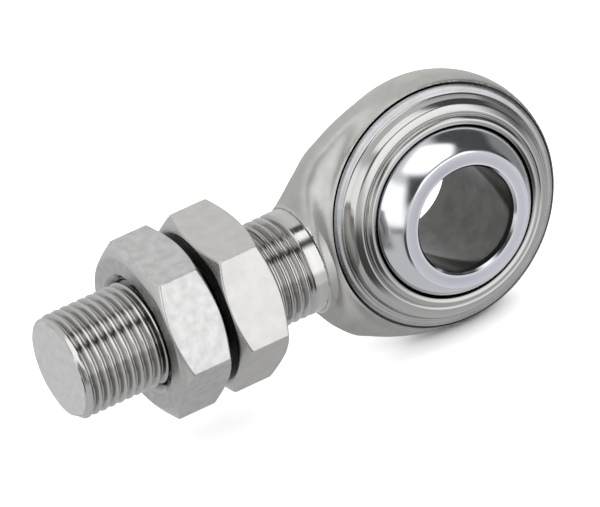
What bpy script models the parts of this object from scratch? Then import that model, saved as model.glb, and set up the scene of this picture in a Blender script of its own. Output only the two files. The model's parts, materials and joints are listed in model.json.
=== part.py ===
"""Male rod end with an integral self-aligning ball bearing, pressed-steel shields and two jam nuts.

Frame: the origin is the centre of the ball, the eye's axis runs along Y with its front at -Y,
the threaded shank runs along -X, and Z is up. The inner ring rests a few degrees off the eye's axis.
"""

import math

import bmesh
import bpy
from mathutils import Matrix, Vector

MM = 0.001

# Inner ring
BORE_R = 10.0
RING_HALF_WIDTH = 12.5
RING_SPHERE_R = 18.0
BORE_CHAMFER = 0.5
RIM_CHAMFER = 0.2
RING_TILT_X = math.radians(3.17)
RING_TILT_Z = math.radians(1.19)

# Rolling elements: two rows that share one spherical raceway in the housing
BALL_R = 1.75
PITCH_SPHERE_R = 18.0
ROW_OFFSET = 2.2
BALLS_PER_ROW = 16
BALL_CLEARANCE = 0.15
RACEWAY_R = PITCH_SPHERE_R + BALL_R + BALL_CLEARANCE
CAGE_INNER_R = 18.3
CAGE_OUTER_R = 18.95
CAGE_HALF_ANGLE = math.radians(14.6)
POCKET_R = 2.2
POCKET_DEPTH = 2.6
POCKET_MIDDLE_R = 18.6

# Eye of the housing
HEAD_R = 24.0
HEAD_LIP_R = 23.2
HEAD_LIP_HALF_WIDTH = 4.2
CROWN = 0.045
LIP_ROUND = 0.25
SEAT_R = 22.85
SEAT_HALF_WIDTH = 3.8
SPIGOT_R = 19.62
SPIGOT_HALF_WIDTH = 5.9
SPIGOT_CHAMFER = 0.15
CORE_HALF_WIDTH = 6.5

# Shank
THREAD_R = 9.9
THREAD_END_X = -31.5
RUNOUT_DEPTH = 0.6
RUNOUT_WIDTH = 0.5
COLLAR_END_X = -28.0
COLLAR_R = 10.0
COLLAR_OVERLAP = 1.2
COLLAR_EDGE = 0.3
SHANK_END_X = -78.5
END_FACE_R = 9.2
END_CHAMFER = 1.1
END_ROUND_X = 0.35
END_ROUND_R = 0.28

# Jam nuts
NUT_ACROSS_FLATS = 30.0
NUT_CORNER_R = NUT_ACROSS_FLATS / math.sqrt(3.0)
NUT_THICKNESS = 10.5
NUT_FACE_R = 14.6
NUT_CHAMFER_SLOPE = 0.55
NUT_BORE_R = 10.15
NUT_BORE_CHAMFER = 0.85
TURNED_OVER_CORNERS = 0.6
HEXAGON_LENGTH = 16.0
INNER_NUT_X = -44.75
OUTER_NUT_X = -56.85
INNER_NUT_TURN = math.radians(44.5)
OUTER_NUT_TURN = math.radians(47.0)

# Facets round each turned piece
HEAD_STEPS = 48
NECK_STEPS = 28
RING_STEPS = 40
SHIELD_STEPS = 36
CAGE_STEPS = 32
SHANK_STEPS = 40
NUT_STEPS = 32
POCKET_STEPS = 10
GROOVE_FACETS = 5

Y_AXIS = Vector((0.0, 1.0, 0.0))
X_AXIS = Vector((1.0, 0.0, 0.0))


def clear_scene():
    for obj in list(bpy.data.objects):
        bpy.data.objects.remove(obj, do_unlink=True)


def make_material(name, colour, roughness, metallic=1.0):
    material = bpy.data.materials.new(name)
    material.use_nodes = True
    shader = material.node_tree.nodes["Principled BSDF"]
    shader.inputs["Base Color"].default_value = (*colour, 1.0)
    shader.inputs["Roughness"].default_value = roughness
    shader.inputs["Metallic"].default_value = metallic
    material.diffuse_color = (*colour, 1.0)
    return material


def link_mesh(name, mesh, material=None, parent=None, location=(0.0, 0.0, 0.0)):
    obj = bpy.data.objects.new(name, mesh)
    bpy.context.scene.collection.objects.link(obj)
    obj.location = [value * MM for value in location]
    if parent:
        obj.parent = parent
    if material:
        obj.data.materials.clear()
        obj.data.materials.append(material)
    return obj


def finish_mesh(name, bm, sharp_degrees=30.0):
    bmesh.ops.remove_doubles(bm, verts=bm.verts, dist=1e-7)
    bmesh.ops.recalc_face_normals(bm, faces=bm.faces)
    bmesh.ops.scale(bm, vec=(MM, MM, MM), verts=bm.verts)
    mesh = bpy.data.meshes.new(name)
    bm.to_mesh(mesh)
    bm.free()
    mesh.shade_smooth()
    mesh.set_sharp_from_angle(angle=math.radians(sharp_degrees))
    return mesh


def turned(name, profile, axis, steps):
    """Turns a closed outline of (radius, position along the axis) in mm into a mesh."""
    across = Vector((1.0, 0.0, 0.0)) if axis == Y_AXIS else Vector((0.0, 0.0, 1.0))
    bm = bmesh.new()
    verts = [bm.verts.new(across * radius + axis * along) for radius, along in profile]
    edges = [bm.edges.new((verts[i - 1], verts[i])) for i in range(len(verts))]
    bmesh.ops.spin(
        bm,
        geom=verts + edges,
        cent=(0.0, 0.0, 0.0),
        axis=axis,
        angle=2.0 * math.pi,
        steps=steps,
        use_merge=True,
    )
    bmesh.ops.remove_doubles(bm, verts=bm.verts, dist=1e-4)
    bmesh.ops.dissolve_degenerate(bm, edges=bm.edges, dist=1e-5)
    return finish_mesh(name, bm)


def helper(name, mesh, parent=None):
    obj = link_mesh(name, mesh, parent=parent)
    obj.hide_render = True
    obj.display_type = "WIRE"
    return obj


def boolean(obj, other, operation):
    modifier = obj.modifiers.new(f"{operation.lower()}_{other.name}", "BOOLEAN")
    modifier.operation = operation
    modifier.solver = "EXACT"
    modifier.object = other


def sphere_arc(radius, start, stop, count):
    """Points of a circle of this radius about the origin, by angle from the equator."""
    angles = [start + (stop - start) * i / count for i in range(count + 1)]
    return [(radius * math.cos(angle), radius * math.sin(angle)) for angle in angles]


def mirrored(half):
    """A closed outline from its upper half, listed from the equator upwards and round."""
    lower = [(radius, -along) for radius, along in reversed(half) if along > 1e-6]
    return half + lower


def row_angle():
    return math.asin(ROW_OFFSET / PITCH_SPHERE_R)


def eye_blank():
    crown = [
        (HEAD_R, 0.0),
        (HEAD_R - CROWN * 1.5**2, 1.5),
        (HEAD_R - CROWN * 3.0**2, 3.0),
        (HEAD_LIP_R + LIP_ROUND, HEAD_LIP_HALF_WIDTH - LIP_ROUND),
        (HEAD_LIP_R, HEAD_LIP_HALF_WIDTH),
        (SEAT_R - 0.9, HEAD_LIP_HALF_WIDTH),
        (SEAT_R - 2.0, CORE_HALF_WIDTH),
        (0.0, CORE_HALF_WIDTH),
    ]
    return turned("rod_end_housing", mirrored(crown), Y_AXIS, HEAD_STEPS)


def bearing_cavity():
    """The raceway, the two shield seats and the spigots between them, as one cutter."""
    top_angle = math.asin(SPIGOT_HALF_WIDTH / RACEWAY_R)
    raceway = sphere_arc(RACEWAY_R, 0.0, top_angle, 3)
    seat = [
        (SPIGOT_R - SPIGOT_CHAMFER, SPIGOT_HALF_WIDTH),
        (SPIGOT_R, SPIGOT_HALF_WIDTH - SPIGOT_CHAMFER),
        (SPIGOT_R, SEAT_HALF_WIDTH),
        (SEAT_R, SEAT_HALF_WIDTH),
        (SEAT_R, RING_HALF_WIDTH),
        (0.0, RING_HALF_WIDTH),
    ]
    return turned("bearing_cavity", mirrored(raceway + seat), Y_AXIS, HEAD_STEPS)


def neck_section(x, half_height, half_width, fullness):
    points = []
    for i in range(NECK_STEPS):
        angle = 2.0 * math.pi * i / NECK_STEPS
        cosine, sine = math.cos(angle), math.sin(angle)
        y = half_width * math.copysign(abs(cosine) ** (2.0 / fullness), cosine)
        z = half_height * math.copysign(abs(sine) ** (2.0 / fullness), sine)
        points.append((x, y, z))
    return points


def neck():
    """Blends the round collar into the flat eye: each row is x, half height, half width, fullness."""
    sections = [
        (COLLAR_END_X, 10.4, 10.4, 2.0),
        (-26.6, 12.3, 8.8, 2.1),
        (-25.2, 14.4, 6.8, 2.3),
        (-24.0, 15.8, 5.5, 2.5),
        (-21.8, 17.9, 4.7, 2.8),
        (-18.6, 19.6, 4.4, 3.2),
        (-15.0, 21.3, 4.2, 3.4),
        (-11.0, 22.7, 4.2, 3.4),
        (-4.0, 23.5, 4.1, 3.4),
    ]
    bm = bmesh.new()
    loops = []
    for x, half_height, half_width, fullness in sections:
        verts = [bm.verts.new(p) for p in neck_section(x, half_height, half_width, fullness)]
        loops.append([bm.edges.new((verts[i - 1], verts[i])) for i in range(len(verts))])
        if x in (sections[0][0], sections[-1][0]):
            bm.faces.new(verts)
    for near, far in zip(loops, loops[1:]):
        bmesh.ops.bridge_loops(bm, edges=near + far)
    return finish_mesh("neck", bm)


def shank():
    profile = [
        (0.0, COLLAR_END_X + COLLAR_OVERLAP),
        (COLLAR_R - COLLAR_OVERLAP / 2.0, COLLAR_END_X + COLLAR_OVERLAP),
        (COLLAR_R, COLLAR_END_X + COLLAR_OVERLAP / 2.0),
        (COLLAR_R, THREAD_END_X + COLLAR_EDGE),
        (THREAD_R - RUNOUT_DEPTH, THREAD_END_X),
        (THREAD_R - RUNOUT_DEPTH, THREAD_END_X - RUNOUT_WIDTH),
        (THREAD_R, THREAD_END_X - RUNOUT_WIDTH - RUNOUT_DEPTH),
        (THREAD_R, SHANK_END_X + END_CHAMFER),
        (THREAD_R - END_ROUND_R, SHANK_END_X + END_ROUND_X),
        (END_FACE_R, SHANK_END_X),
        (0.0, SHANK_END_X),
    ]
    return turned("shank", profile, X_AXIS, SHANK_STEPS)


def build_housing():
    steel = make_material("forged_steel", (0.62, 0.61, 0.59), 0.32)
    housing = link_mesh("rod_end_housing", eye_blank(), steel)
    boolean(housing, helper("neck", neck()), "UNION")
    boolean(housing, helper("shank", shank()), "UNION")
    boolean(housing, helper("bearing_cavity", bearing_cavity()), "DIFFERENCE")
    return housing


def build_inner_ring(centre):
    angle = row_angle()
    groove_r = BALL_R + BALL_CLEARANCE
    half_groove = 2.0 * math.asin(groove_r / (2.0 * RING_SPHERE_R))
    face_angle = math.acos((RING_HALF_WIDTH - RIM_CHAMFER) / RING_SPHERE_R)
    pitch = (PITCH_SPHERE_R * math.cos(angle), ROW_OFFSET)
    half = [(RING_SPHERE_R * math.cos(angle - half_groove), RING_SPHERE_R * math.sin(angle - half_groove))]
    for step in range(1, GROOVE_FACETS):
        turn = math.radians(-90.0 - 180.0 * step / GROOVE_FACETS) + angle
        half.append((pitch[0] + groove_r * math.cos(turn), pitch[1] + groove_r * math.sin(turn)))
    half += sphere_arc(RING_SPHERE_R, angle + half_groove, math.pi / 2 - face_angle, 5)
    rim_r = RING_SPHERE_R * math.sin(face_angle)
    half += [
        (rim_r - RIM_CHAMFER, RING_HALF_WIDTH),
        (BORE_R + BORE_CHAMFER, RING_HALF_WIDTH),
        (BORE_R, RING_HALF_WIDTH - BORE_CHAMFER),
    ]
    chrome = make_material("chromed_bearing_steel", (0.72, 0.73, 0.76), 0.08)
    mesh = turned("inner_ring", mirrored(half), Y_AXIS, RING_STEPS)
    return link_mesh("inner_ring", mesh, chrome, centre)


def pocket_cutters():
    bm = bmesh.new()
    for direction in ball_directions():
        turn = Vector((0.0, 0.0, 1.0)).rotation_difference(direction).to_matrix().to_4x4()
        place = Matrix.Translation(direction * POCKET_MIDDLE_R) @ turn
        bmesh.ops.create_cone(
            bm,
            cap_ends=True,
            segments=POCKET_STEPS,
            radius1=POCKET_R,
            radius2=POCKET_R,
            depth=POCKET_DEPTH,
            matrix=place,
        )
    return finish_mesh("cage_pockets", bm)


def ball_directions():
    """Unit vectors from the centre to each ball: the front row at -Y, then the rear row."""
    found = []
    for side in (-1.0, 1.0):
        for index in range(BALLS_PER_ROW):
            around = 2.0 * math.pi * (index + (0.5 if side > 0 else 0.0)) / BALLS_PER_ROW
            across = math.cos(row_angle())
            found.append(
                Vector((across * math.cos(around), side * math.sin(row_angle()), across * math.sin(around)))
            )
    return found


def build_cage(centre):
    outer = sphere_arc(CAGE_OUTER_R, 0.0, CAGE_HALF_ANGLE, 2)
    inner = sphere_arc(CAGE_INNER_R, CAGE_HALF_ANGLE, -CAGE_HALF_ANGLE, 4)
    below = sphere_arc(CAGE_OUTER_R, -CAGE_HALF_ANGLE, 0.0, 2)[:-1]
    steel = make_material("cage_steel", (0.55, 0.53, 0.48), 0.4)
    mesh = turned("ball_cage", outer + inner + below, Y_AXIS, CAGE_STEPS)
    cage = link_mesh("ball_cage", mesh, steel, centre)
    boolean(cage, helper("cage_pockets", pocket_cutters(), centre), "DIFFERENCE")
    return cage


def build_balls(centre):
    bm = bmesh.new()
    bmesh.ops.create_icosphere(bm, subdivisions=2, radius=BALL_R)
    mesh = finish_mesh("bearing_ball", bm, 80.0)
    steel = make_material("ball_steel", (0.75, 0.76, 0.78), 0.05)
    for number, direction in enumerate(ball_directions()):
        row = "front" if number < BALLS_PER_ROW else "rear"
        name = f"ball_{row}_{number % BALLS_PER_ROW + 1:02d}"
        link_mesh(name, mesh, steel, centre, direction * PITCH_SPHERE_R)


def shield_outline():
    """Section of the front of one shield, as (radius, distance from the eye's middle)."""
    outer = [
        (22.5, 4.1),
        (22.55, 4.3),
        (22.2, 4.6),
        (21.15, 4.65),
        (20.7, 5.1),
        (20.5, 6.4),
        (19.9, 7.1),
        (17.75, 7.95),
        (17.25, 8.65),
        (16.9, 8.85),
        (16.2, 8.55),
    ]
    inner = [
        (16.3, 8.15),
        (16.75, 8.15),
        (17.0, 7.65),
        (19.4, 6.65),
        (19.95, 6.1),
        (20.1, 4.6),
        (20.6, 4.1),
    ]
    return outer + inner


def build_shields():
    pressed = make_material("pressed_steel", (0.68, 0.67, 0.66), 0.14)
    for name, side in (("shield_front", -1.0), ("shield_rear", 1.0)):
        profile = [(radius, side * along) for radius, along in shield_outline()]
        link_mesh(name, turned(name, profile, Y_AXIS, SHIELD_STEPS), pressed.copy())


def nut_body(name):
    """The turned form that the hexagon is cut down to: chamfered outside and bored inside."""
    half = NUT_THICKNESS / 2.0
    outside_r = NUT_CORNER_R + TURNED_OVER_CORNERS
    edge = half - (outside_r - NUT_FACE_R) * NUT_CHAMFER_SLOPE
    profile = [
        (outside_r, -edge),
        (outside_r, edge),
        (NUT_FACE_R, half),
        (NUT_BORE_R + NUT_BORE_CHAMFER, half),
        (NUT_BORE_R, half - NUT_BORE_CHAMFER),
        (NUT_BORE_R, -half + NUT_BORE_CHAMFER),
        (NUT_BORE_R + NUT_BORE_CHAMFER, -half),
        (NUT_FACE_R, -half),
    ]
    return turned(name, profile, X_AXIS, NUT_STEPS)


def hexagon(turn):
    bm = bmesh.new()
    verts = []
    for side in range(6):
        angle = turn + side * math.pi / 3.0
        y, z = -NUT_CORNER_R * math.cos(angle), NUT_CORNER_R * math.sin(angle)
        verts.append(bm.verts.new((-HEXAGON_LENGTH / 2.0, y, z)))
    face = bm.faces.new(verts)
    grown = bmesh.ops.extrude_face_region(bm, geom=[face])
    moved = [item for item in grown["geom"] if isinstance(item, bmesh.types.BMVert)]
    bmesh.ops.translate(bm, vec=(HEXAGON_LENGTH, 0.0, 0.0), verts=moved)
    return finish_mesh("hexagon", bm)


def build_nuts():
    nuts = (
        ("jam_nut_inner", INNER_NUT_X, INNER_NUT_TURN),
        ("jam_nut_outer", OUTER_NUT_X, OUTER_NUT_TURN),
    )
    for name, x, turn in nuts:
        steel = make_material(f"{name}_steel", (0.66, 0.65, 0.63), 0.3)
        nut = link_mesh(name, nut_body(name), steel, None, (x, 0.0, 0.0))
        blank = helper(f"{name}_hexagon", hexagon(turn))
        blank.location = nut.location
        boolean(nut, blank, "INTERSECT")


def build_swivel_centre():
    """The frame of the ring, cage and balls, which tilt together in the eye: about Z, then about X."""
    centre = bpy.data.objects.new("swivel_centre", None)
    bpy.context.scene.collection.objects.link(centre)
    centre.rotation_mode = "ZYX"
    centre.rotation_euler = (RING_TILT_X, 0.0, RING_TILT_Z)
    return centre


def build():
    clear_scene()
    centre = build_swivel_centre()
    build_housing()
    build_inner_ring(centre)
    build_cage(centre)
    build_balls(centre)
    build_shields()
    build_nuts()


build()
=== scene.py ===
"""Looks for the rod end with integral ball bearing: fine meshes, metals, camera, light and floor.

Lengths are in millimetres up to place(), which writes them in metres in the frame of the CAD.
"""

import json
import math

import bmesh
import bpy
import numpy as np
from mathutils import Matrix, Vector


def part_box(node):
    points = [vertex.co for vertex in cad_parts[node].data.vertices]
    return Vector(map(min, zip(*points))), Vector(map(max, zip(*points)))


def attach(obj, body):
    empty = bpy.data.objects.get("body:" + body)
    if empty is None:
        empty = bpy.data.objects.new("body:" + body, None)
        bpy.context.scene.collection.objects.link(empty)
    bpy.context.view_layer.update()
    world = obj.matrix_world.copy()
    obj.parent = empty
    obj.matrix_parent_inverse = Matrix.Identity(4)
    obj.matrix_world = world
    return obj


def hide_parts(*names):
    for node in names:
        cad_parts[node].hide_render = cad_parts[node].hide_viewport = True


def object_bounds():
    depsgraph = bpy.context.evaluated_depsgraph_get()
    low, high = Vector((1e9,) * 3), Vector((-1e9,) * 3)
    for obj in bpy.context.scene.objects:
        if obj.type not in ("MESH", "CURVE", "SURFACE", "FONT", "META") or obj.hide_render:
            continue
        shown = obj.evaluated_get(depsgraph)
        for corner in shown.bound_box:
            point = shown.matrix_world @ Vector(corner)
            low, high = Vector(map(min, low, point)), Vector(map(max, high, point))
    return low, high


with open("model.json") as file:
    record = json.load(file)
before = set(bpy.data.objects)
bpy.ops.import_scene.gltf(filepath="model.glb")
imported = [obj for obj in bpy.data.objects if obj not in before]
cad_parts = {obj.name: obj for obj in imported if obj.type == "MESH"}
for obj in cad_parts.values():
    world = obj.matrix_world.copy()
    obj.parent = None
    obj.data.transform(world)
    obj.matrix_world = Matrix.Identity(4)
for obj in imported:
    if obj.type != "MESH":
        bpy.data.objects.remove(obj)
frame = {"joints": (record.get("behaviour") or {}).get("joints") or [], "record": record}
CAD_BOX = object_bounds()

MM = 0.001
SEAM = 0.02  # how far past an edge a face's middle still counts as inside it, in mm


def cad_mm(node):
    """Lowest and highest corner of a CAD node in mm."""
    low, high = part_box(node)
    return low / MM, high / MM


# Sizes read from the frame
HOUSING_LOW, HOUSING_HIGH = cad_mm("rod_end_housing")
HEAD_R = HOUSING_HIGH.x
SHANK_END_X = HOUSING_LOW.x
RING_HALF_WIDTH = 12.5
RING_SPHERE_R = 18.0


def joint_axis(name):
    return Vector(next(joint["axis"] for joint in frame["joints"] if joint["name"] == name))


def swivel_turn():
    """How the ring, cage and balls lie at rest: turned about Z, then about X."""
    second, spin = joint_axis("ring_tilt_z"), joint_axis("ring_spin")
    about_x = Matrix.Rotation(math.atan2(-second.y, second.z), 4, "X")
    return about_x @ Matrix.Rotation(math.asin(-spin.x), 4, "Z")


SWIVEL = swivel_turn()

# Inner ring
BORE_R = 10.0
BORE_CHAMFER = 0.45
RIM_ROUND = 0.22
RIM_CORNER = ((0.02, 0.07), (0.12, 0.01), (0.24, 0.0), (0.6, 0.0))

# Balls and cage
BALL_R = 1.75
PITCH_SPHERE_R = 18.0
ROW_OFFSET = 2.2
BALLS_PER_ROW = 16
BALL_CLEARANCE = 0.15
RACEWAY_R = PITCH_SPHERE_R + BALL_R + BALL_CLEARANCE
CAGE_INNER_R = 18.3
CAGE_OUTER_R = 18.95
CAGE_HALF_ANGLE = math.radians(14.6)
POCKET_R = 2.2
POCKET_DEPTH = 2.6

# Eye of the housing
HEAD_HALF_WIDTH = 4.2
CROWN = 0.045
LIP_ROUND = 0.3
SEAT_R = 22.92
SEAT_HALF_WIDTH = 3.8
SEAT_CHAMFER = 0.12
SPIGOT_R = 19.62
SPIGOT_HALF_WIDTH = 5.9
SPIGOT_CHAMFER = (0.12, 0.15)
NECK_BLEND = 1.6
SHIELD_FLANGE_R = 21.25
FORGING_VOXEL = 0.3

# Neck, from the collar to the eye: x, half height, half width, fullness of the section
NECK_SECTIONS = (
    (-29.5, 9.9, 9.9, 2.0),
    (-28.0, 10.4, 10.2, 2.0),
    (-26.6, 12.3, 8.8, 2.1),
    (-25.2, 14.4, 6.8, 2.3),
    (-24.0, 15.8, 5.5, 2.5),
    (-21.8, 17.9, 4.7, 2.8),
    (-18.6, 19.6, 4.4, 3.2),
    (-15.0, 21.3, 4.2, 3.4),
    (-11.0, 22.7, 4.2, 3.4),
    (-4.0, 23.5, 4.1, 3.4),
)
NECK_START_X = -28.2
COLLAR_BLEND_END_X = NECK_START_X + 0.35
NECK_END_X = -4.0

# Threads
THREAD_PITCH = 1.75
THREAD_CREST_R = 9.97
THREAD_DEPTH = 1.0
THREAD_END_X = -30.3
THREAD_RUNOUT = 1.4
COLLAR_INSIDE_X = -26.0
END_FACE_R = 9.25
END_CHAMFER = 0.8
THREAD_FORM = (
    (0.0, 0.0),
    (0.05, 0.015),
    (0.095, 0.09),
    (0.22, 0.42),
    (0.355, 0.86),
    (0.42, 0.97),
    (0.5, 1.0),
    (0.58, 0.97),
    (0.645, 0.86),
    (0.78, 0.42),
    (0.905, 0.09),
    (0.95, 0.015),
)
NUT_THREAD_FORM = ((0.0, 0.0), (0.17, 0.03), (0.44, 0.95), (0.5, 1.0), (0.56, 0.95), (0.83, 0.03))
NUT_THREAD_CREST_R = 10.25
NUT_THREAD_DEPTH = 0.95

# Jam nuts
NUT_ACROSS_FLATS = 30.0
NUT_FACE_R = 14.6
NUT_CHAMFER_SLOPE = 0.55
NUT_EDGE_ROUND = 0.3
NUT_CORNER_ROUND = 0.45
NUT_BORE_CHAMFER_R = 11.5
NUT_TURNS = {"jam_nut_inner": math.radians(44.5), "jam_nut_outer": math.radians(47.0)}

# Facets
TURNED_STEPS = 192
RING_STEPS = 256
SHIELD_STEPS = 256
CAGE_STEPS = 128
NUT_BORE_STEPS = 96
THREAD_STEPS = 120
NECK_STEPS = 48
POCKET_STEPS = 28
FILLET_STEPS = 6
GROOVE_STEPS = 24
BALL_SUBDIVISIONS = 4
SURFACE_ROUNDS = 6

Y_AXIS = Vector((0.0, 1.0, 0.0))
X_AXIS = Vector((1.0, 0.0, 0.0))


# ---------------------------------------------------------------- mesh helpers


def make_mesh(name, verts, faces):
    """An object in mm with its faces turned outwards."""
    mesh = bpy.data.meshes.new(name)
    mesh.from_pydata([tuple(v) for v in verts], [], [tuple(f) for f in faces])
    bm = bmesh.new()
    bm.from_mesh(mesh)
    bmesh.ops.recalc_face_normals(bm, faces=bm.faces)
    bm.to_mesh(mesh)
    bm.free()
    obj = bpy.data.objects.new(name, mesh)
    bpy.context.scene.collection.objects.link(obj)
    return obj


def apply_modifiers(obj):
    graph = bpy.context.evaluated_depsgraph_get()
    mesh = bpy.data.meshes.new_from_object(obj.evaluated_get(graph))
    obj.modifiers.clear()
    obj.data = mesh


def boolean(obj, other, operation):
    """Applies one exact Boolean and removes the other object."""
    modifier = obj.modifiers.new(operation.lower(), "BOOLEAN")
    modifier.operation = operation
    modifier.solver = "EXACT"
    modifier.object = other
    apply_modifiers(obj)
    bpy.data.objects.remove(other, do_unlink=True)


def place(obj, body, nodes, materials, zone=None, sharp_degrees=32.0, turn=None):
    """Scales obj from mm to metres, gives it its materials, turns it and hangs it on its CAD body."""
    mesh = obj.data
    mesh.transform(Matrix.Scale(MM, 4))
    mesh.shade_smooth()
    mesh.set_sharp_from_angle(angle=math.radians(sharp_degrees))
    mesh.materials.clear()
    for material in materials:
        mesh.materials.append(material)
    for face in mesh.polygons:
        face.material_index = zone(face.center / MM) if zone else 0
    if turn:
        obj.matrix_world = turn
    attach(obj, body)
    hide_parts(*nodes)


def turned(name, outline, axis, steps=TURNED_STEPS):
    """Turns a closed outline of (radius, position along the axis) about the axis."""
    across = Vector((1.0, 0.0, 0.0)) if axis == Y_AXIS else Vector((0.0, 0.0, 1.0))
    other = axis.cross(across)
    verts, rows = [], []
    for radius, along in outline:
        count = steps if radius > 1e-6 else 1
        rows.append(range(len(verts), len(verts) + count))
        for step in range(count):
            angle = 2.0 * math.pi * step / steps
            out = across * math.cos(angle) + other * math.sin(angle)
            verts.append(out * radius + axis * along)
    faces = []
    for index, row in enumerate(rows):
        faces += joined_rows(row, rows[(index + 1) % len(rows)])
    return make_mesh(name, verts, faces)


def joined_rows(row, following):
    """Faces between two rings of points, either of which may be a single point on the axis."""
    if len(row) == 1 and len(following) == 1:
        return []
    steps = max(len(row), len(following))
    faces = []
    for step in range(steps):
        after = (step + 1) % steps
        corners = [row[step % len(row)], row[after % len(row)]]
        corners += [following[after % len(following)], following[step % len(following)]]
        faces.append(list(dict.fromkeys(corners)))
    return faces


def filleted(corners):
    """A closed outline whose corners (radius, along, round) are rounded by arcs."""
    points = []
    for index, (x, y, wanted) in enumerate(corners):
        here = Vector((x, y))
        before = Vector(corners[index - 1][:2]) - here
        after = Vector(corners[(index + 1) % len(corners)][:2]) - here
        half = before.angle(after) / 2.0
        reach = min(wanted / math.tan(half), 0.48 * before.length, 0.48 * after.length)
        if wanted <= 0.0 or half > math.radians(88.0):
            points.append((x, y))
            continue
        radius = reach * math.tan(half)
        middle = here + (before.normalized() + after.normalized()).normalized() * (radius / math.sin(half))
        start = here + before.normalized() * reach - middle
        stop = here + after.normalized() * reach - middle
        sweep = start.angle_signed(stop)
        for step in range(FILLET_STEPS + 1):
            turn = Matrix.Rotation(-sweep * step / FILLET_STEPS, 2)
            points.append(tuple(middle + turn @ start))
    return points


def arc(radius, start, stop, count):
    """Points of a circle of this radius about the centre of the ball, by angle from the equator."""
    angles = [start + (stop - start) * i / count for i in range(count + 1)]
    return [(radius * math.cos(angle), radius * math.sin(angle)) for angle in angles]


def mirrored(half):
    """A closed outline from its half at positive positions."""
    return half + [(radius, -along) for radius, along in reversed(half) if along > 1e-6]


# ---------------------------------------------------------------- housing


def smooth_min(a, b, reach):
    overlap = np.maximum(reach - np.abs(a - b), 0.0) / reach
    return np.minimum(a, b) - overlap**2 * reach / 4.0


def crown_field(points):
    """Distance outside the crowned rim of the eye."""
    x, y, z = points.T
    rim = np.hypot(x, z) - (HEAD_R - CROWN * y**2)
    face = np.abs(y) - HEAD_HALF_WIDTH
    return -smooth_min(-rim, -face, LIP_ROUND)


def smooth_curve(x, stations, values):
    """A cubic curve through the values, whose slope changes without a step."""
    slopes = np.gradient(values, stations)
    index = np.clip(np.searchsorted(stations, x) - 1, 0, len(stations) - 2)
    width = stations[index + 1] - stations[index]
    share = np.clip((x - stations[index]) / width, 0.0, 1.0)
    rise = share**2 * (3.0 - 2.0 * share)
    bend = share * (1.0 - share) * width
    turn = slopes[index] * (1.0 - share) - slopes[index + 1] * share
    return values[index] * (1.0 - rise) + values[index + 1] * rise + bend * turn


def neck_shape(points):
    """How far outside its section of the neck each point is, as a share of the section's size."""
    x, y, z = points.T
    stations = np.array(NECK_SECTIONS).T
    height, width, fullness = (smooth_curve(x, stations[0], row) for row in stations[1:])
    return ((np.abs(y) / width) ** fullness + (np.abs(z) / height) ** fullness) ** (1.0 / fullness) - 1.0


def gradient(field, points, step=0.02):
    columns = []
    for axis in range(3):
        shift = np.zeros(3)
        shift[axis] = step
        columns.append((field(points + shift) - field(points - shift)) / (2.0 * step))
    return np.stack(columns, axis=1)


def neck_field(points):
    slope = np.linalg.norm(gradient(neck_shape, points), axis=1)
    side = neck_shape(points) / np.maximum(slope, 1e-3)
    ends = np.maximum(NECK_START_X - points[:, 0], points[:, 0] - NECK_END_X)
    return np.maximum(side, ends)


def forging_field(points):
    return smooth_min(crown_field(points), neck_field(points), NECK_BLEND)


def neck_blank():
    """A rough loft through the neck's sections."""
    verts = [(NECK_START_X, 0.0, 0.0)]
    rows = [range(1)]
    for x, height, width, fullness in NECK_SECTIONS[1:]:
        rows.append(range(len(verts), len(verts) + NECK_STEPS))
        for step in range(NECK_STEPS):
            angle = 2.0 * math.pi * step / NECK_STEPS
            cosine, sine = math.cos(angle), math.sin(angle)
            y = width * math.copysign(abs(cosine) ** (2.0 / fullness), cosine)
            z = height * math.copysign(abs(sine) ** (2.0 / fullness), sine)
            verts.append((x, y, z))
    verts.append((NECK_END_X, 0.0, 0.0))
    rows.append(range(len(verts) - 1, len(verts)))
    faces = []
    for row, following in zip(rows, rows[1:]):
        faces += joined_rows(row, following)
    return make_mesh("neck_blank", verts, faces)


def forged_blank():
    """Eye and neck as one soft-edged forging: remeshed, then drawn onto the exact surface."""
    rim = [(0.0, HEAD_HALF_WIDTH), (HEAD_R - 1.0, HEAD_HALF_WIDTH), (HEAD_R, 0.0)]
    rim += [(HEAD_R - 1.0, -HEAD_HALF_WIDTH), (0.0, -HEAD_HALF_WIDTH)]
    blank = turned("rod_end_body", rim, Y_AXIS)
    boolean(blank, neck_blank(), "UNION")
    remesh = blank.modifiers.new("remesh", "REMESH")
    remesh.mode = "VOXEL"
    remesh.voxel_size = FORGING_VOXEL
    apply_modifiers(blank)
    points = np.empty(len(blank.data.vertices) * 3, np.float32)
    blank.data.vertices.foreach_get("co", points)
    points = points.reshape(-1, 3).astype(float)
    for _ in range(SURFACE_ROUNDS):
        slope = gradient(forging_field, points)
        length = np.maximum((slope**2).sum(axis=1), 0.25)
        points -= slope * (forging_field(points) / length)[:, None]
    blank.data.vertices.foreach_set("co", points.astype(np.float32).ravel())
    blank.data.update()
    return blank


def bearing_cavity():
    """The raceway, the two shield seats and the spigots between them, as one cutter."""
    top_angle = math.asin(SPIGOT_HALF_WIDTH / RACEWAY_R)
    half = arc(RACEWAY_R, 0.0, top_angle, 12)
    half += [
        (SPIGOT_R - SPIGOT_CHAMFER[0], SPIGOT_HALF_WIDTH),
        (SPIGOT_R, SPIGOT_HALF_WIDTH - SPIGOT_CHAMFER[1]),
        (SPIGOT_R, SEAT_HALF_WIDTH),
        (SEAT_R, SEAT_HALF_WIDTH),
        (SEAT_R, HEAD_HALF_WIDTH - SEAT_CHAMFER),
        (SEAT_R + SEAT_CHAMFER, HEAD_HALF_WIDTH),
        (SEAT_R + SEAT_CHAMFER, RING_HALF_WIDTH),
        (0.0, RING_HALF_WIDTH),
    ]
    return turned("bearing_cavity", mirrored(half), Y_AXIS)


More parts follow.
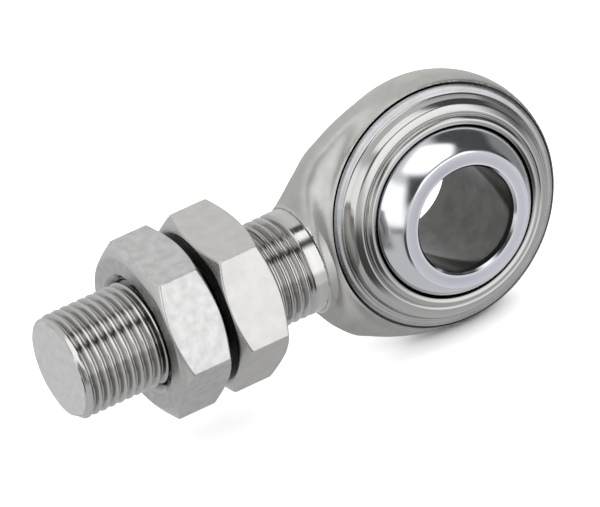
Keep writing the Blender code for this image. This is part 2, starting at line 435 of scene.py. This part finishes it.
def helical_skin(name, start, stop, form, crest_r, depth, limit, fade=None):
    """A closed screw about X: limit(x) caps the radius, and fade(x) is how deep the thread is cut."""
    rows = []
    for turn in range(-1, math.ceil((stop - start) / THREAD_PITCH) + 1):
        rows += [(turn + phase, cut) for phase, cut in form]
    rows = [row for row in rows if row[0] * THREAD_PITCH < stop - start]
    rows.append(((stop - start) / THREAD_PITCH, 0.0))
    verts = []
    for phase, cut in rows:
        for step in range(THREAD_STEPS):
            angle = 2.0 * math.pi * step / THREAD_STEPS
            x = start + THREAD_PITCH * (phase + step / THREAD_STEPS)
            inside = min(max(x, start), stop)
            radius = min(crest_r - depth * cut * (fade(inside) if fade else 1.0), limit(inside))
            radius -= 2.0 * abs(x - inside)
            verts.append((inside, radius * math.cos(angle), radius * math.sin(angle)))
    per_turn, last = len(form), len(rows) - 1

    def vert(row, step):
        if step == THREAD_STEPS:
            row, step = row + per_turn, 0
        return row * THREAD_STEPS + step

    faces = []
    for row in range(last):
        for step in range(THREAD_STEPS):
            if step == THREAD_STEPS - 1 and row + 1 + per_turn > last:
                continue
            faces.append((vert(row, step), vert(row, step + 1), vert(row + 1, step + 1), vert(row + 1, step)))
    near = [vert(0, step) for step in range(THREAD_STEPS)] + [vert(row, 0) for row in range(per_turn, 0, -1)]
    far = [vert(last, step) for step in range(THREAD_STEPS)]
    far += [vert(row, THREAD_STEPS - 1) for row in range(last - 1, last - per_turn - 1, -1)]
    for rim, x in ((near, start), (far, stop)):
        verts.append((x, 0.0, 0.0))
        faces += [(rim[i - 1], rim[i], len(verts) - 1) for i in range(len(rim))]
    return make_mesh(name, verts, faces)


def shank():
    def limit(x):
        return END_FACE_R + (x - SHANK_END_X) * (THREAD_CREST_R - END_FACE_R) / END_CHAMFER

    def fade(x):
        return min(max((THREAD_END_X - x) / THREAD_RUNOUT, 0.0), 1.0)

    return helical_skin(
        "shank", SHANK_END_X, COLLAR_INSIDE_X, THREAD_FORM, THREAD_CREST_R, THREAD_DEPTH, limit, fade
    )


def housing_zone(centre):
    """0 forging, 1 thread and collar, 2 end face, 3 seats and raceway, whose near black steel is painted
    shade.
    """
    if centre.x < SHANK_END_X + SEAM:
        return 2
    if centre.x < COLLAR_BLEND_END_X:
        return 1
    radius = math.hypot(centre.x, centre.z)
    return 3 if radius < SEAT_R + SEAM else 0


def build_housing(metals):
    body = forged_blank()
    boolean(body, shank(), "UNION")
    boolean(body, bearing_cavity(), "DIFFERENCE")
    slots = [metals["forging"], metals["thread"], metals["end_face"], metals["bore"]]
    place(body, "housing", ["rod_end_housing"], slots, housing_zone)


# ---------------------------------------------------------------- bearing


def row_angle():
    return math.asin(ROW_OFFSET / PITCH_SPHERE_R)


def ring_outline():
    angle = row_angle()
    groove_r = BALL_R + BALL_CLEARANCE
    half_groove = 2.0 * math.asin(groove_r / (2.0 * RING_SPHERE_R))
    rim_r = math.sqrt(RING_SPHERE_R**2 - RING_HALF_WIDTH**2)
    face_angle = math.asin((RING_HALF_WIDTH - RIM_ROUND) / RING_SPHERE_R)
    pitch = Vector((PITCH_SPHERE_R * math.cos(angle), ROW_OFFSET))
    half = [(RING_SPHERE_R * math.cos(angle - half_groove), RING_SPHERE_R * math.sin(angle - half_groove))]
    for step in range(1, GROOVE_STEPS):
        turn = math.radians(-90.0 - 180.0 * step / GROOVE_STEPS) + angle
        half.append(tuple(pitch + Vector((math.cos(turn), math.sin(turn))) * groove_r))
    half += arc(RING_SPHERE_R, angle + half_groove, face_angle, 60)
    half += [(rim_r - inwards, RING_HALF_WIDTH - below) for inwards, below in RIM_CORNER]
    half += [
        (BORE_R + BORE_CHAMFER + 0.3, RING_HALF_WIDTH),
        (BORE_R + BORE_CHAMFER, RING_HALF_WIDTH - 0.02),
        (BORE_R + 0.04, RING_HALF_WIDTH - BORE_CHAMFER),
        (BORE_R, RING_HALF_WIDTH - BORE_CHAMFER - 0.12),
        (BORE_R, RING_HALF_WIDTH - 2.0),
        (BORE_R, 4.0),
    ]
    return mirrored(half)


def ring_zone(centre):
    """0 polished sphere, 1 ground face, 2 bore, whose near black steel is painted shade."""
    radius = math.hypot(centre.x, centre.z)
    if radius < BORE_R + SEAM:
        return 2
    return 1 if abs(centre.y) > RING_HALF_WIDTH - 0.005 else 0


def build_ring(metals):
    ring = turned("bearing_ring", ring_outline(), Y_AXIS, RING_STEPS)
    slots = [metals["chrome"], metals["ground_face"], metals["bore"]]
    place(ring, "ring", ["inner_ring"], slots, ring_zone, 25.0, SWIVEL)


def ball_places():
    """Name, CAD node and direction from the centre of each ball."""
    places = []
    for row, side in (("front", -1.0), ("rear", 1.0)):
        for index in range(BALLS_PER_ROW):
            around = 2.0 * math.pi * (index + (0.5 if side > 0.0 else 0.0)) / BALLS_PER_ROW
            across = math.cos(row_angle())
            direction = Vector((across * math.cos(around), 0.0, across * math.sin(around)))
            direction.y = side * math.sin(row_angle())
            places.append((f"ball_{row}_{index + 1:02d}", direction))
    return places


def body_of_node(node):
    return next(body for body, nodes in frame["record"]["behaviour"]["bodies"].items() if node in nodes)


def build_balls(metals):
    bm = bmesh.new()
    bmesh.ops.create_icosphere(bm, subdivisions=BALL_SUBDIVISIONS, radius=BALL_R * MM)
    mesh = bpy.data.meshes.new("bearing_ball")
    bm.to_mesh(mesh)
    bm.free()
    mesh.shade_smooth()
    mesh.materials.append(metals["ball"])
    for node, direction in ball_places():
        ball = bpy.data.objects.new(f"bearing_{node}", mesh)
        bpy.context.scene.collection.objects.link(ball)
        ball.location = SWIVEL @ direction * PITCH_SPHERE_R * MM
        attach(ball, body_of_node(node))
        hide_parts(node)


def pocket_cutters():
    bm = bmesh.new()
    for _, direction in ball_places():
        turn = Vector((0.0, 0.0, 1.0)).rotation_difference(direction).to_matrix().to_4x4()
        bmesh.ops.create_cone(
            bm,
            cap_ends=True,
            segments=POCKET_STEPS,
            radius1=POCKET_R,
            radius2=POCKET_R,
            depth=POCKET_DEPTH,
            matrix=Matrix.Translation(direction * (CAGE_INNER_R + CAGE_OUTER_R) / 2.0) @ turn,
        )
    mesh = bpy.data.meshes.new("pockets")
    bm.to_mesh(mesh)
    bm.free()
    obj = bpy.data.objects.new("pockets", mesh)
    bpy.context.scene.collection.objects.link(obj)
    return obj


def build_cage(metals):
    outline = arc(CAGE_OUTER_R, -CAGE_HALF_ANGLE, CAGE_HALF_ANGLE, 16)
    outline += arc(CAGE_INNER_R, CAGE_HALF_ANGLE, -CAGE_HALF_ANGLE, 16)
    cage = turned("bearing_cage", outline, Y_AXIS, CAGE_STEPS)
    boolean(cage, pocket_cutters(), "DIFFERENCE")
    place(cage, "bearing", ["ball_cage"], [metals["cage"]], turn=SWIVEL)


def shield_corners():
    """Section of one pressed shield: radius, distance from the eye's middle, rounding."""
    return [
        (22.6, 4.05, 0.12),
        (22.6, 4.45, 0.3),
        (22.0, 4.85, 2.0),
        (21.1, 4.95, 0.9),
        (20.45, 6.35, 0.9),
        (19.75, 7.3, 1.2),
        (18.5, 7.95, 0.6),
        (18.0, 7.7, 0.12),
        (17.75, 8.45, 0.5),
        (17.0, 9.0, 0.7),
        (16.15, 8.6, 0.3),
        (16.3, 8.15, 0.12),
        (16.85, 8.2, 0.2),
        (17.15, 7.55, 0.2),
        (19.1, 6.75, 0.8),
        (19.95, 6.1, 0.4),
        (20.3, 4.05, 0.2),
    ]


def shield_zone(centre):
    """0 stepped dome, 1 flat flange, whose darker steel colour is painted shade."""
    return 1 if math.hypot(centre.x, centre.z) > SHIELD_FLANGE_R else 0


def build_shields(metals):
    slots = [metals["pressed"], metals["flange"]]
    for name, node, side in (("front_shield", "shield_front", -1.0), ("rear_shield", "shield_rear", 1.0)):
        outline = [(radius, side * along) for radius, along in filleted(shield_corners())]
        shield = turned(name, outline, Y_AXIS, SHIELD_STEPS)
        place(shield, "housing", [node], slots, shield_zone, 50.0)


# ---------------------------------------------------------------- nuts


def hexagon_columns():
    """Angle from the first corner and radius of the hexagon, with its corners rounded."""
    flat = NUT_ACROSS_FLATS / 2.0
    centre_r = (flat - NUT_CORNER_ROUND) / math.cos(math.pi / 6.0)
    tangent = math.atan2(flat * math.tan(math.pi / 6.0) - NUT_CORNER_ROUND * math.tan(math.pi / 6.0), flat)
    tangent = math.pi / 6.0 - tangent
    columns = []
    for side in range(6):
        corner = side * math.pi / 3.0
        for step in range(-4, 5):
            angle = tangent * step / 4.0
            radius = centre_r * math.cos(angle) + math.sqrt(
                max(NUT_CORNER_ROUND**2 - (centre_r * math.sin(angle)) ** 2, 0.0)
            )
            columns.append((corner + angle, radius))
        for step in range(1, 16):
            angle = tangent + (math.pi / 3.0 - 2.0 * tangent) * step / 16.0
            columns.append((corner + angle, flat / math.cos(angle - math.pi / 6.0)))
    return columns


def nut_section(edge_r, half):
    """Half of a nut's outline at one angle, from the axis out over one face to the middle."""
    drop = (edge_r - NUT_FACE_R) * NUT_CHAMFER_SLOPE
    points = [(radius, half) for radius in (9.0, 11.8, 13.6, NUT_FACE_R - 0.25)]
    points.append((NUT_FACE_R - 0.02, half - 0.02))
    reach = min(NUT_EDGE_ROUND, 0.45 * (edge_r - NUT_FACE_R))
    corner = Vector((edge_r, half - drop))
    inner = Vector((edge_r - reach, half - drop + reach * NUT_CHAMFER_SLOPE))
    outer = Vector((edge_r, half - drop - NUT_EDGE_ROUND))
    first = Vector((NUT_FACE_R + 0.25 * (edge_r - NUT_FACE_R), half - 0.25 * drop))
    for step in range(4):
        points.append(tuple(first.lerp(inner, step / 4.0)))
    for step in range(7):
        share = step / 6.0
        points.append(tuple(inner.lerp(corner, share).lerp(corner.lerp(outer, share), share)))
    for step in range(1, 6):
        points.append((edge_r, outer.y * (1.0 - step / 6.0)))
    return points


def nut_blank(name, turn, half):
    """The hexagon with both faces chamfered, not yet bored."""
    columns = hexagon_columns()
    sections = [nut_section(radius, half) for _, radius in columns]
    sections = [part + [(part[-1][0], 0.0)] + [(r, -x) for r, x in reversed(part)] for part in sections]
    verts = [(half, 0.0, 0.0)]
    rows = [range(1)]
    for index in range(len(sections[0])):
        rows.append(range(len(verts), len(verts) + len(columns)))
        for (angle, _), section in zip(columns, sections):
            radius, x = section[index]
            verts.append((x, -radius * math.cos(angle + turn), radius * math.sin(angle + turn)))
    verts.append((-half, 0.0, 0.0))
    rows.append(range(len(verts) - 1, len(verts)))
    faces = []
    for row, following in zip(rows, rows[1:]):
        faces += joined_rows(row, following)
    return make_mesh(name, verts, faces)


def tap(half, middle_x):
    """The nut's bore as a solid: a screw in phase with the shank's."""
    reach = half + 2.0
    turns = math.floor((middle_x - reach - SHANK_END_X) / THREAD_PITCH)
    start = SHANK_END_X + turns * THREAD_PITCH - middle_x
    return helical_skin(
        "tap", start, start + 2.0 * reach + THREAD_PITCH, NUT_THREAD_FORM,
        NUT_THREAD_CREST_R, NUT_THREAD_DEPTH, lambda x: NUT_THREAD_CREST_R,
    )


def countersink(half):
    deep = half - (NUT_BORE_CHAMFER_R - NUT_THREAD_CREST_R + NUT_THREAD_DEPTH) * 0.8
    inner_r = NUT_THREAD_CREST_R - NUT_THREAD_DEPTH
    cone = [(0.0, half + 1.0), (NUT_BORE_CHAMFER_R, half + 1.0), (NUT_BORE_CHAMFER_R, half), (inner_r, deep)]
    return turned("countersink", mirrored(cone + [(inner_r, 0.1)]), X_AXIS, NUT_BORE_STEPS)


def nut_zone(centre, half):
    """0 flats, 1 turned faces and chamfers, 2 thread."""
    radius = math.hypot(centre.y, centre.z)
    if radius < NUT_BORE_CHAMFER_R:
        return 2
    return 1 if abs(centre.x) > half - (radius - NUT_FACE_R) * NUT_CHAMFER_SLOPE - 0.12 else 0


def build_nuts(metals):
    for name, node, body in (
        ("inner_jam_nut", "jam_nut_inner", "inner_nut"),
        ("outer_jam_nut", "jam_nut_outer", "outer_nut"),
    ):
        low, high = cad_mm(node)
        half, middle = (high.x - low.x) / 2.0, (high.x + low.x) / 2.0
        nut = nut_blank(name, NUT_TURNS[node], half)
        boolean(nut, tap(half, middle), "DIFFERENCE")
        boolean(nut, countersink(half), "DIFFERENCE")
        slots = [metals[f"{name}_flats"], metals["nut_turned"], metals["thread"]]
        zones = [nut_zone(face.center, half) for face in nut.data.polygons]
        nut.data.transform(Matrix.Translation((middle, 0.0, 0.0)))
        place(nut, body, [node], slots)
        for face, zone in zip(nut.data.polygons, zones):
            face.material_index = zone


# ---------------------------------------------------------------- materials

# Painted shade from an ambient occlusion node: reach in mm, the occlusion range that fades the colour, the
# near black it fades to, and samples.
PAINTED_SHADE_REACH = 3.0
PAINTED_SHADE_RANGE = (0.25, 0.7)
PAINTED_SHADE_COLOUR = (0.02, 0.02, 0.02)
PAINTED_SHADE_SAMPLES = 6
BROAD_GRAIN = 8.0
BROAD_SPAN = (0.35, 0.65)
FINE_SPAN = (0.3, 0.7)
ROUND_THE_AXIS = 0.04


def metal(name, colour, roughness, bump, grain_mm, turned_axis=None, spread=0.06, contrast=0.12):
    """A steel whose colour, roughness and height vary with noise, and whose colour is darkened in crevices as
    painted shade.

    bump is in mm. turned_axis makes the noise into turning marks round that axis. spread is how far the
    roughness varies either way, and contrast is how far the colour does.
    """
    material = bpy.data.materials.new(name)
    material.use_nodes = True
    nodes, links = material.node_tree.nodes, material.node_tree.links
    shader = nodes["Principled BSDF"]
    shader.inputs["Metallic"].default_value = 1.0
    place_in = nodes.new("ShaderNodeTexCoord").outputs["Object"]
    if turned_axis:
        place_in = ring_coordinates(nodes, links, place_in, turned_axis)
    broad = noise(nodes, links, place_in, 1.0 / (grain_mm * BROAD_GRAIN * MM), 3.0)
    fine = noise(nodes, links, place_in, 1.0 / (grain_mm * MM), 5.0)
    dark = [value * (1.0 - contrast) for value in colour]
    light = [min(1.0, value * (1.0 + contrast)) for value in colour]
    mix = nodes.new("ShaderNodeMix")
    mix.data_type = "RGBA"
    mix.inputs["A"].default_value = (*dark, 1.0)
    mix.inputs["B"].default_value = (*light, 1.0)
    links.new(span(nodes, links, broad, *BROAD_SPAN, 0.0, 1.0), mix.inputs["Factor"])
    # Painted shade: the base colour falls to near black in crevices and gaps.
    links.new(painted_crevice_shade(nodes, links, mix.outputs["Result"]), shader.inputs["Base Color"])
    rough = span(nodes, links, fine, *FINE_SPAN, roughness - spread, roughness + spread)
    links.new(rough, shader.inputs["Roughness"])
    relief = nodes.new("ShaderNodeBump")
    relief.inputs["Strength"].default_value = 1.0
    relief.inputs["Distance"].default_value = bump * MM
    links.new(fine, relief.inputs["Height"])
    links.new(relief.outputs["Normal"], shader.inputs["Normal"])
    return material


def painted_crevice_shade(nodes, links, colour):
    """The colour, falling to almost black where another surface is close: painted shade in gaps, crevices and
    thread roots.
    """
    occlusion = nodes.new("ShaderNodeAmbientOcclusion")
    occlusion.samples = PAINTED_SHADE_SAMPLES
    occlusion.inputs["Distance"].default_value = PAINTED_SHADE_REACH * MM
    shade = nodes.new("ShaderNodeMix")
    shade.data_type = "RGBA"
    shade.inputs["A"].default_value = (*PAINTED_SHADE_COLOUR, 1.0)
    links.new(span(nodes, links, occlusion.outputs["AO"], *PAINTED_SHADE_RANGE, 0.0, 1.0), shade.inputs["Factor"])
    links.new(colour, shade.inputs["B"])
    return shade.outputs["Result"]


def noise(nodes, links, vector, scale, detail):
    texture = nodes.new("ShaderNodeTexNoise")
    texture.inputs["Scale"].default_value = scale
    texture.inputs["Detail"].default_value = detail
    links.new(vector, texture.inputs["Vector"])
    return texture.outputs["Fac"]


def span(nodes, links, value, low, high, to_low, to_high):
    node = nodes.new("ShaderNodeMapRange")
    node.inputs["From Min"].default_value = low
    node.inputs["From Max"].default_value = high
    node.inputs["To Min"].default_value = to_low
    node.inputs["To Max"].default_value = to_high
    links.new(value, node.inputs["Value"])
    return node.outputs["Result"]


def ring_coordinates(nodes, links, place_in, axis):
    """Coordinates that hardly change round the axis, so that noise becomes turning marks."""
    parts = nodes.new("ShaderNodeSeparateXYZ")
    links.new(place_in, parts.inputs["Vector"])
    across = ("X", "Z") if axis == "Y" else ("Y", "Z")
    flat = nodes.new("ShaderNodeCombineXYZ")
    links.new(parts.outputs[across[0]], flat.inputs["X"])
    links.new(parts.outputs[across[1]], flat.inputs["Y"])
    length = nodes.new("ShaderNodeVectorMath")
    length.operation = "LENGTH"
    links.new(flat.outputs["Vector"], length.inputs[0])
    around = nodes.new("ShaderNodeVectorMath")
    around.operation = "SCALE"
    around.inputs["Scale"].default_value = ROUND_THE_AXIS
    links.new(flat.outputs["Vector"], around.inputs[0])
    split = nodes.new("ShaderNodeSeparateXYZ")
    links.new(around.outputs["Vector"], split.inputs["Vector"])
    joined = nodes.new("ShaderNodeCombineXYZ")
    links.new(length.outputs["Value"], joined.inputs["X"])
    links.new(parts.outputs[axis], joined.inputs["Y"])
    links.new(split.outputs["X"], joined.inputs["Z"])
    return joined.outputs["Vector"]


def build_metals():
    return {
        "forging": metal("forged_satin_steel", (0.48, 0.475, 0.455), 0.44, 0.004, 0.35, None, 0.05, 0.05),
        "thread": metal("rolled_thread_steel", (0.6, 0.59, 0.58), 0.12, 0.003, 0.25, "X", 0.04, 0.06),
        "end_face": metal("sawn_end_steel", (0.76, 0.76, 0.75), 0.42, 0.004, 0.2, None, 0.06, 0.05),
        # Painted shade: the bores, seats and raceway get a near black steel colour that stands for the shade
        # inside them.
        "bore": metal("bore_painted_shade_steel", (0.13, 0.13, 0.125), 0.12, 0.002, 0.4, None, 0.04, 0.15),
        "chrome": metal("polished_chrome", (0.74, 0.75, 0.78), 0.13, 0.0006, 1.2, None, 0.02, 0.02),
        "ground_face": metal("ground_ring_face", (0.6, 0.6, 0.66), 0.32, 0.003, 0.25, "Y"),
        "pressed": metal("pressed_shield_steel", (0.53, 0.525, 0.515), 0.15, 0.003, 0.5, "Y", 0.04, 0.08),
        # Painted shade: the flange is the same pressed steel, given a darker colour that stands for shade;
        # its higher roughness is its own finish.
        "flange": metal("shield_flange_painted_shade", (0.46, 0.46, 0.47), 0.28, 0.004, 0.4, None, 0.06, 0.08),
        "inner_jam_nut_flats": metal(
            "inner_nut_plated", (0.58, 0.57, 0.55), 0.38, 0.008, 0.3, None, 0.05, 0.04
        ),
        "outer_jam_nut_flats": metal(
            "outer_nut_plated", (0.55, 0.55, 0.54), 0.36, 0.02, 0.2, None, 0.08, 0.09
        ),
        "nut_turned": metal("nut_turned_steel", (0.62, 0.61, 0.6), 0.24, 0.005, 0.3, "X"),
        "cage": metal("cage_sheet_steel", (0.52, 0.5, 0.45), 0.38, 0.006, 0.4),
        "ball": metal("ball_polished_steel", (0.75, 0.76, 0.78), 0.05, 0.0004, 0.8, None, 0.02, 0.02),
    }


# ---------------------------------------------------------------- studio

CAMERA_AZIMUTH = math.radians(-23.84)
CAMERA_ELEVATION = math.radians(24.57)
CAMERA_ROLL = math.radians(-14.23)
CAMERA_DISTANCE = 2.1435
CAMERA_LENS = 714.9
SENSOR_WIDTH = 36.0
CAMERA_RIGHT = -0.02359
CAMERA_UP = -0.00983
FLOOR_Z = CAD_BOX[0].z - 0.0003
FLOOR_SIZE = 12.0
PLAIN_LIGHT = 2.3
ROOM_LEVEL = 0.7
ROOM_TINT = (0.995, 1.0, 1.01)
ROOM_TURN = (math.radians(-3.0), math.radians(-0.26), math.radians(-0.64))
# Azimuth from and to, elevation from and to, softness of the edges in degrees, brightness
STUDIO = (
    (-190.0, 190.0, -95.0, -12.0, 5.0, 0.62),
    (105.0, 190.0, 0.0, 95.0, 10.0, 0.78),
    (-190.0, -105.0, 0.0, 95.0, 10.0, 0.72),
    (-20.0, 55.0, -36.0, -10.0, 4.0, 0.85),
    (-64.0, -8.0, -46.0, -8.0, 7.0, 0.08),
    (62.0, 110.0, -8.0, 76.0, 8.0, 0.05),
    (92.0, 122.0, -26.0, 18.0, 6.0, 0.25),
    (-60.0, 66.0, 20.0, 57.0, 8.0, 0.04),
    (-22.0, 52.0, -12.0, 42.0, 6.0, 1.5),
    (-102.0, -61.0, -2.0, 44.0, 6.0, 1.4),
    (-98.0, -82.0, -28.0, -3.0, 5.0, 0.2),
    (-92.0, -55.0, -11.0, -4.0, 2.5, 0.3),
    (-78.0, 72.0, 57.0, 95.0, 4.0, 1.5),
)


def camera_axes():
    """Right, up and back of the camera, before its offset."""
    flat, height = math.cos(CAMERA_ELEVATION), math.sin(CAMERA_ELEVATION)
    back = Vector((math.sin(CAMERA_AZIMUTH) * flat, -math.cos(CAMERA_AZIMUTH) * flat, height))
    right = Vector((0.0, 0.0, 1.0)).cross(back).normalized()
    up = back.cross(right)
    cosine, sine = math.cos(CAMERA_ROLL), math.sin(CAMERA_ROLL)
    return right * cosine + up * sine, up * cosine - right * sine, back


def build_camera():
    right, up, back = camera_axes()
    camera = bpy.data.objects.new("camera", bpy.data.cameras.new("camera"))
    bpy.context.scene.collection.objects.link(camera)
    camera.data.lens = CAMERA_LENS
    camera.data.sensor_width = SENSOR_WIDTH
    camera.data.clip_start = 0.05
    camera.data.clip_end = 50.0
    place_at = back * CAMERA_DISTANCE + right * CAMERA_RIGHT + up * CAMERA_UP
    turn = Matrix((right, up, back)).transposed().to_4x4()
    camera.matrix_world = Matrix.Translation(place_at) @ turn
    bpy.context.scene.camera = camera


def build_floor():
    half = FLOOR_SIZE / 2.0
    mesh = bpy.data.meshes.new("floor")
    corners = [(-half, -half, 0.0), (half, -half, 0.0), (half, half, 0.0), (-half, half, 0.0)]
    mesh.from_pydata(corners, [], [(0, 1, 2, 3)])
    floor = bpy.data.objects.new("floor", mesh)
    floor.location.z = FLOOR_Z
    bpy.context.scene.collection.objects.link(floor)
    paper = bpy.data.materials.new("pale_floor")
    paper.use_nodes = True
    shader = paper.node_tree.nodes["Principled BSDF"]
    shader.inputs["Base Color"].default_value = (0.9, 0.9, 0.9, 1.0)
    shader.inputs["Roughness"].default_value = 0.9
    mesh.materials.append(paper)
    floor.visible_glossy = False


def smooth_step(nodes, links, value, low, high):
    node = nodes.new("ShaderNodeMapRange")
    node.interpolation_type = "SMOOTHSTEP"
    node.inputs["From Min"].default_value = low
    node.inputs["From Max"].default_value = high
    links.new(value, node.inputs["Value"])
    return node.outputs["Result"]


def product(nodes, links, first, second):
    node = nodes.new("ShaderNodeMath")
    node.operation = "MULTIPLY"
    links.new(first, node.inputs[0])
    links.new(second, node.inputs[1])
    return node.outputs["Value"]


def sky_angles(nodes, links):
    """Azimuth (0 in front at -Y, 90 at +X) and elevation in degrees of the way that a ray leaves."""
    turned_room = nodes.new("ShaderNodeMapping")
    turned_room.inputs["Rotation"].default_value = ROOM_TURN
    links.new(nodes.new("ShaderNodeTexCoord").outputs["Generated"], turned_room.inputs["Vector"])
    parts = nodes.new("ShaderNodeSeparateXYZ")
    links.new(turned_room.outputs["Vector"], parts.inputs["Vector"])
    flipped = nodes.new("ShaderNodeMath")
    flipped.operation = "MULTIPLY"
    flipped.inputs[1].default_value = -1.0
    links.new(parts.outputs["Y"], flipped.inputs[0])
    around = nodes.new("ShaderNodeMath")
    around.operation = "ARCTAN2"
    links.new(parts.outputs["X"], around.inputs[0])
    links.new(flipped.outputs["Value"], around.inputs[1])
    above = nodes.new("ShaderNodeMath")
    above.operation = "ARCSINE"
    links.new(parts.outputs["Z"], above.inputs[0])
    degrees = []
    for angle in (around, above):
        node = nodes.new("ShaderNodeMath")
        node.operation = "DEGREES"
        links.new(angle.outputs["Value"], node.inputs[0])
        degrees.append(node.outputs["Value"])
    return degrees


def studio_colour(nodes, links):
    """The room that the polished steel reflects: soft boxes and dark gaps laid over a grey room."""
    azimuth, elevation = sky_angles(nodes, links)
    colour = None
    for left, right, bottom, top, soft, level in STUDIO:
        edges = (
            smooth_step(nodes, links, azimuth, left - soft, left + soft),
            smooth_step(nodes, links, azimuth, right + soft, right - soft),
            smooth_step(nodes, links, elevation, bottom - soft, bottom + soft),
            smooth_step(nodes, links, elevation, top + soft, top - soft),
        )
        cover = edges[0]
        for edge in edges[1:]:
            cover = product(nodes, links, cover, edge)
        mix = nodes.new("ShaderNodeMix")
        mix.data_type = "RGBA"
        mix.inputs["A"].default_value = (*[ROOM_LEVEL * tint for tint in ROOM_TINT], 1.0)
        mix.inputs["B"].default_value = (*[level * tint for tint in ROOM_TINT], 1.0)
        links.new(cover, mix.inputs["Factor"])
        if colour:
            links.new(colour, mix.inputs["A"])
        colour = mix.outputs["Result"]
    return colour


def build_world():
    """White light on everything, and the studio of soft boxes for what is reflected."""
    world = bpy.data.worlds.new("studio")
    bpy.context.scene.world = world
    world.use_nodes = True
    nodes, links = world.node_tree.nodes, world.node_tree.links
    plain = nodes["Background"]
    plain.inputs["Color"].default_value = (1.0, 1.0, 1.0, 1.0)
    plain.inputs["Strength"].default_value = PLAIN_LIGHT
    seen = nodes.new("ShaderNodeBackground")
    links.new(studio_colour(nodes, links), seen.inputs["Color"])
    choose = nodes.new("ShaderNodeMixShader")
    links.new(nodes.new("ShaderNodeLightPath").outputs["Is Glossy Ray"], choose.inputs["Fac"])
    links.new(plain.outputs["Background"], choose.inputs[1])
    links.new(seen.outputs["Background"], choose.inputs[2])
    links.new(choose.outputs["Shader"], nodes["World Output"].inputs["Surface"])


def main():
    metals = build_metals()
    build_housing(metals)
    build_shields(metals)
    build_ring(metals)
    build_cage(metals)
    build_balls(metals)
    build_nuts(metals)
    build_floor()
    build_world()
    build_camera()
    bpy.context.scene.view_settings.view_transform = "Standard"


main()
